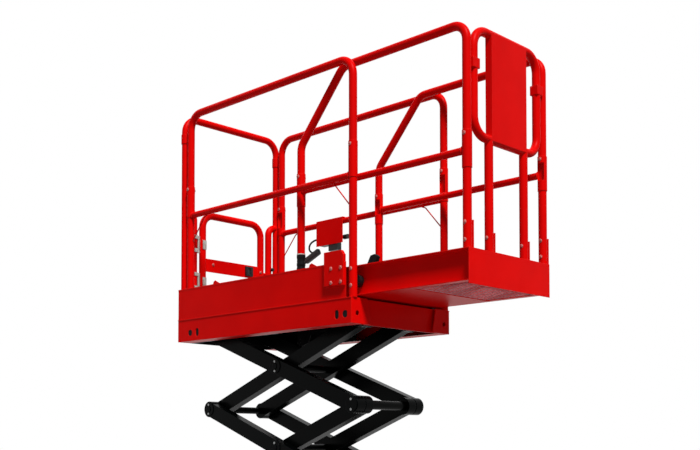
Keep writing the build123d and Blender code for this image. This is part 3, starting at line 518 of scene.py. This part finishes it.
grommet = turned([(0.0165, 0.0), (0.0165, 0.0022), (0.0130, 0.0030), (0.0120, 0.0012)], 24)
set_out(grommet, "side_plate_grommets",
        [(deck_spot(x, side * 346.5, 43), (0, side, 0), 0) for x in (-536, 601) for side in (-1, 1)],
        "platform", rubber)
away(grommet)
lining = block((-0.015, -0.023, -0.0035), (0.015, 0.023, 0.0), 0.001)
set_out(lining, "side_plate_slot_linings",
        [(deck_spot(x, side * 346.4, z), (0, side, 0), 0) for x, z in ((-477, 43), (548, 44))
         for side in (-1, 1)],
        "platform", rubber)
away(lining)

# raised lozenges of the tread plate, 26 mm long, alternately turned
lozenge = turned([(0.0100, 0.0), (0.0072, 0.0014)], 8)
bpy.ops.object.select_all(action="DESELECT")
lozenge.select_set(True)
bpy.context.view_layer.objects.active = lozenge
lozenge.scale = (1.3, 0.36, 1.0)
bpy.ops.object.transform_apply(location=True, rotation=True, scale=True)
# its third colour is paint rubbed off the crowns' edges, and a painted highlight there too
tread_steel = powder_coat("rubbed_tread_crowns", "A06A62", "8A3630", "C0B8B4", 0.42, 0.4)
pitch = 31
# the two files under the roll-out deck's sides stop short of where its end is stowed
stowed_files = (1, 19)
clear_rows = 7
rows = [(deck_spot(-615 + pitch * i, -310 + pitch * j, floor_height), (0, 0, 1), 45 if (i + j) % 2 else -45)
        for i in range(39) for j in range(21) if i < clear_rows or j not in stowed_files]
set_out(lozenge, "platform_tread", rows, "platform", tread_steel)

# ---------------------------------------------------------------- toe boards and guard rails
# Sheet toe boards with rolled tops and a bolted bracket on each side. The rails are bent round
# tube and fold at bolted sleeves. All are red, and their bolts are painted over.
paint(red_coat, ["toe_boards", "side_rail_left", "side_rail_right", "rear_rail", "control_hanger"])
rail_y = 326.5          # the rails' middle line from the middle plane, in millimetres
sleeve_face = 21.4      # feet of the bolts on the round post sleeves, from the posts' middle line
# its third colour is paint rubbed off the heads' edges, and a painted highlight there too
painted_bolt = powder_coat("painted_over_bolt", "C23A30", "9A2018", "E8DCD6", 0.34, 0.4)
low_washer = turned([(0.0088, 0.0), (0.0088, 0.0012), (0.0082, 0.0016)], 16)
low_head = turned([(0.0068, 0.0016), (0.0068, 0.0042), (0.0056, 0.0050)], 6)
low_bolt = joined([low_washer, low_head])
places = []
for side in (-1, 1):
    places += [(deck_spot(x, side * 367, z), (0, side, 0), 0)
               for x, z in ((528, 252), (589, 252), (528, 188), (589, 188))]
    places += [(deck_spot(632, side * 345.2, z), (0, side, 0), 0) for z in (245, 169)]
    places += [(deck_spot(-640, side * 336, z), (-1, 0, 0), 0) for z in (249, 174)]
    for x in (-565, 629):
        places += [(deck_spot(x, side * rail_y + way * sleeve_face, 810), (0, way, 0), 0)
                   for way in (-1, 1)]
set_out(low_bolt, "rail_bolts", places, "platform", painted_bolt)

# fillet welds where the middle rails meet the posts
bpy.ops.object.select_all(action="DESELECT")
bpy.ops.mesh.primitive_torus_add(major_segments=20, minor_segments=6, major_radius=0.0168,
                                 minor_radius=0.0030)
weld = bpy.context.object
places = [(deck_spot(x, side * rail_y, 672), (1, 0, 0), 0) for x in (-543.5, 607.5) for side in (-1, 1)]
set_out(weld, "side_rail_welds", places, "platform", red_coat)

# ---------------------------------------------------------------- gate
# A closed loop of tube with a flat bar across it, hung on two plated hinges. A spring latch
# shoots into the stub post, and a black sleeve lines its window.
paint(red_coat, ["gate"])
end_x = -616
hinge_y = -238
leaf_half = 25.3
barrel_high = 20.4
strap_half = 4
clamp_back = 16.5
clamp_front = 21.5
hinge_barrel = turned([(0.0100, 0.0), (0.0110, 0.001), (0.0110, 0.0194), (0.0100, 0.0204)], 20)
leaf_barrel = turned([(0.0100, 0.0), (0.0110, 0.001), (0.0110, 0.0496), (0.0100, 0.0506)], 20)
for height in (335, 537):
    steps = (-46.2, 25.8)
    set_out(hinge_barrel, f"hinge_barrels_{height}",
            [(deck_spot(end_x, hinge_y, height + low), (0, 0, 1), 0) for low in steps],
            "platform", zinc)
    straps = [block(deck_spot(end_x - strap_half, -270, height + low),
                    deck_spot(end_x + strap_half, -240, height + low + barrel_high), 0.0012)
              for low in steps]
    dress(joined(straps), f"hinge_straps_{height}", "platform", zinc)
    set_out(leaf_barrel, f"gate_barrel_{height}",
            [(deck_spot(end_x, hinge_y, height - leaf_half), (0, 0, 1), 0)], "gate", zinc)
    leaf = block(deck_spot(end_x - strap_half, -237, height - leaf_half),
                 deck_spot(end_x + strap_half, -206, height + leaf_half), 0.0012)
    dress(leaf, f"gate_leaf_{height}", "gate", zinc)
    clamps = [block(deck_spot(end_x + clamp_back, -277, height + low),
                    deck_spot(end_x + clamp_front, -254, height + low + barrel_high), 0.0015)
              for low in steps]
    dress(joined(clamps), f"hinge_clamps_{height}", "platform", zinc)
    clamp = block(deck_spot(end_x + clamp_back, -221, height - leaf_half),
                  deck_spot(end_x + clamp_front, -196, height + leaf_half), 0.0015)
    dress(clamp, f"gate_clamp_{height}", "gate", zinc)
away(hinge_barrel)
away(leaf_barrel)
sleeve = [block(deck_spot(end_x - 14, 91, 406), deck_spot(end_x + 14, 107, 459), 0.0015),
          block(deck_spot(end_x - 14, 127, 406), deck_spot(end_x + 14, 143, 459), 0.0015),
          block(deck_spot(end_x - 13.5, 105, 450), deck_spot(end_x + 13.5, 129, 459), 0.0015),
          block(deck_spot(end_x - 13.5, 105, 406), deck_spot(end_x + 13.5, 129, 416), 0.0015)]
dress(joined(sleeve), "latch_window_sleeve", "gate", moulded)
set_out(low_bolt, "gate_bar_bolts",
        [(deck_spot(end_x + 3, -136, 439), (1, 0, 0), 0),
         (deck_spot(end_x + 15.5, 198, 435), (1, 0, 0), 0)],
        "gate", painted_bolt)
knob = turned([(0.006, 0.0), (0.006, 0.005), (0.0095, 0.0065), (0.0105, 0.014), (0.0085, 0.019),
               (0.0045, 0.0205)], 20)
set_out(knob, "latch_knob", [(deck_spot(end_x + 17.8, 274, 458.5), (1, 0, 0), 0)], "platform",
        moulded)
away(knob)

# ---------------------------------------------------------------- control box and lead
# A black moulded box hung on the left middle rail by a red plate, with a stop button and three
# push buttons on its outer side. Its rubber lead runs to a ribbed socket on the toe board.
paint(rubber, ["latch_grip"])
bezel_face = 369        # feet of the buttons on the bezel, from the middle plane, in millimetres
bezel = block(deck_spot(-236, 367.2, 586), deck_spot(-124, 369.2, 644), 0.0009)
dress(bezel, "control_bezel", "platform", moulded)
set_out(mushroom, "control_stop_button", [(deck_spot(-150, bezel_face, 615), (0, 1, 0), 0)], "platform",
        stop_red)
set_out(button, "control_buttons",
        [(deck_spot(x, bezel_face, z), (0, 1, 0), 0) for x, z in ((-190, 628), (-190, 602), (-216, 615))],
        "platform", zinc)
away(mushroom)
away(button)

lead_y = 324.2
route = [deck_spot(-244.3, lead_y, 597), deck_spot(-330, lead_y, 595), deck_spot(-335, lead_y, 523),
         deck_spot(-262, lead_y, 521)]
line = bpy.data.curves.new("control_lead_line", "CURVE")
line.dimensions = "3D"
spline = line.splines.new("NURBS")
spline.points.add(len(route) - 1)
for knot, spot in zip(spline.points, route):
    knot.co = (*spot, 1.0)
spline.order_u = 3
spline.use_endpoint_u = True
line.resolution_u = 12
line.bevel_depth = 0.005
line.bevel_resolution = 4
line.use_fill_caps = True
line.materials.append(rubber)
lead = bpy.data.objects.new("control_lead_cord", line)
scene.collection.objects.link(lead)
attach(lead, "platform")
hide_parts("control_lead")
shell = block((-0.0135, -0.017, 0.0), (0.0135, 0.017, 0.118), 0.008)
slope = (0.92, 0, 0.39)
connector_end = deck_spot(-360, lead_y, 484)
connector = set_out(shell, "lead_connector", [(connector_end, slope, 0)], "platform", moulded)
away(shell)
relief_form = turned([(0.0105, 0.0), (0.0105, 0.006), (0.0080, 0.008), (0.0092, 0.012), (0.0076, 0.016),
                      (0.0086, 0.021), (0.0072, 0.026), (0.0078, 0.031), (0.0066, 0.042)], 20)
relief = set_out(relief_form, "lead_strain_relief", [(connector_end, tuple(-c for c in slope), 0)],
                 "platform", rubber)
away(relief_form)
ribs = [(0.0170, 0.0), (0.0170, 0.0015)]
for rib in range(5):
    start = 0.0025 + 0.016 * rib
    ribs += [(0.0210, start + 0.0005), (0.0210, start + 0.0065), (0.0172, start + 0.0075),
             (0.0172, start + 0.0150)]
ribs = ribs[:-1] + [(0.0150, 0.0740)]
ribbed = turned(ribs, 28)
socket_x = -403
bracket_half = 14
bracket_face = 345.7
socket = set_out(ribbed, "lead_socket", [(deck_spot(socket_x, lead_y, 452), (0, 0, 1), 0)], "platform",
                 rubber)
away(ribbed)
bracket = joined([block(deck_spot(socket_x - bracket_half, lead_y - 6, 440),
                        deck_spot(socket_x + bracket_half, bracket_face, 456), 0.0015),
                  block(deck_spot(socket_x - bracket_half, 340, 220),
                        deck_spot(socket_x + bracket_half, bracket_face, 455), 0.0015)])
dress(bracket, "lead_socket_bracket", "platform", black_coat)
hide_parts("control_lead")

# ---------------------------------------------------------------- roll-out deck
# Channel sides with a plate floor that changes to expanded metal near the front, so that the
# worker sees down. Its rails stow inside the platform's. A ribbed rubber boot is on the right
# rear post.
roll_out_y = 278        # the roll-out rails' middle line from the middle plane, in millimetres
rear_post = 238
front_post = 1233
roll_out_floor = 135
boot_foot = 266
paint(red_coat,
      ["extension_deck", "extension_toe", "extension_rail_left", "extension_rail_right", "front_rail"])
rows = [(deck_spot(240 + pitch * i, -248 + pitch * j, roll_out_floor), (0, 0, 1), 45 if (i + j) % 2 else -45)
        for i in range(22) for j in range(17)]
set_out(lozenge, "extension_tread", rows, "extension", tread_steel)
away(lozenge)

# expanded metal: diamonds of 58 x 34 mm between strands about 2.5 mm thick
low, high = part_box("extension_mesh")
long_cells = round((high[0] - low[0]) / 0.058)
cross_cells = round((high[1] - low[1]) / 0.034)
bpy.ops.object.select_all(action="DESELECT")
bpy.ops.mesh.primitive_grid_add(x_subdivisions=long_cells, y_subdivisions=cross_cells, size=1,
                                location=[(a + b) / 2 for a, b in zip(low, high)])
grating = bpy.context.object
grating.scale = (high[0] - low[0] - 0.003, high[1] - low[1] - 0.003, 1)
bpy.ops.object.transform_apply(location=True, rotation=True, scale=True)
bpy.ops.object.mode_set(mode="EDIT")
bpy.ops.mesh.select_all(action="SELECT")
cage = bmesh.from_edit_mesh(grating.data)
corners = {tuple(round(c, 6) for c in vert.co) for vert in cage.verts}
bpy.ops.mesh.poke()
# the first grid's inner lines go, and the crossing lines between cell middles stay
bpy.ops.mesh.select_mode(type="EDGE")
cage = bmesh.from_edit_mesh(grating.data)
bpy.ops.mesh.select_all(action="DESELECT")
for edge in cage.edges:
    ends = [tuple(round(c, 6) for c in vert.co) in corners for vert in edge.verts]
    edge.select_set(all(ends) and len(edge.link_faces) == 2)
bmesh.update_edit_mesh(grating.data)
bpy.ops.mesh.dissolve_edges(use_verts=False)
bpy.ops.object.mode_set(mode="OBJECT")
strands = grating.modifiers.new("strands", "WIREFRAME")
strands.thickness = 0.0025
strands.use_even_offset = False
bpy.ops.object.modifier_apply(modifier="strands")
galvanised, tree, shader = new_material("galvanised_expanded_steel")
# hot-dip zinc, dull pinkish grey with a pale bloom
place = add_node(tree, "ShaderNodeTexCoord", {}, {}).outputs["Object"]
spangle = add_node(tree, "ShaderNodeTexVoronoi", {}, {"Vector": place, "Scale": 140.0})
tint = add_node(tree, "ShaderNodeMix", {"data_type": "RGBA"},
                {"Factor": spangle.outputs["Distance"], "A": linear("B47A7E"), "B": linear("7A343A")})
shader.inputs["Metallic"].default_value = 0.35
shader.inputs["Roughness"].default_value = 0.55
tree.links.new(tint.outputs["Result"], shader.inputs["Base Color"])
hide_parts("extension_mesh")
dress(grating, "expanded_metal_floor", "extension", galvanised)

boot = turned([(0.0205, 0.0), (0.0213, 0.003), (0.0213, 0.012), (0.0198, 0.015), (0.0198, 0.022),
               (0.0213, 0.025), (0.0213, 0.034), (0.0198, 0.037), (0.0198, 0.044), (0.0213, 0.047),
               (0.0213, 0.056), (0.0198, 0.059), (0.0198, 0.080), (0.0213, 0.084), (0.0213, 0.094),
               (0.0205, 0.097)], 32)
set_out(boot, "latch_boot", [(deck_spot(rear_post, -roll_out_y, boot_foot), (0, 0, 1), 0)], "extension",
        rubber)
away(boot)
clip = turned([(0.0205, 0.0), (0.0212, 0.0008), (0.0212, 0.0052), (0.0200, 0.006)], 32)
set_out(clip, "latch_boot_clip", [(deck_spot(rear_post, -roll_out_y, 363.5), (0, 0, 1), 0)], "extension",
        zinc)
away(clip)

places = []
for side in (-1, 1):
    for x in (rear_post, front_post):
        places += [(deck_spot(x, side * roll_out_y + way * sleeve_face, 740), (0, way, 0), 0)
                   for way in (-1, 1)]
    # gussets of the corner posts and of the front uprights, bolted through the posts
    places += [(deck_spot(front_post, side * roll_out_y + 21, z), (0, 1, 0), 0) for z in (371, 298)]
    places += [(deck_spot(front_post, side * roll_out_y - 18.6, z), (0, -1, 0), 0) for z in (371, 298)]
    places += [(deck_spot(front_post, side * 128 - 18.6, 326), (0, -1, 0), 0)]
set_out(low_bolt, "roll_out_bolts", places, "extension", painted_bolt)
away(low_bolt)
away(bolt)
places = [(deck_spot(x, side * roll_out_y, 672), (1, 0, 0), 0) for x in (259.5, 1211.5) for side in (-1, 1)]
set_out(weld, "roll_out_welds", places, "extension", red_coat)
away(weld)
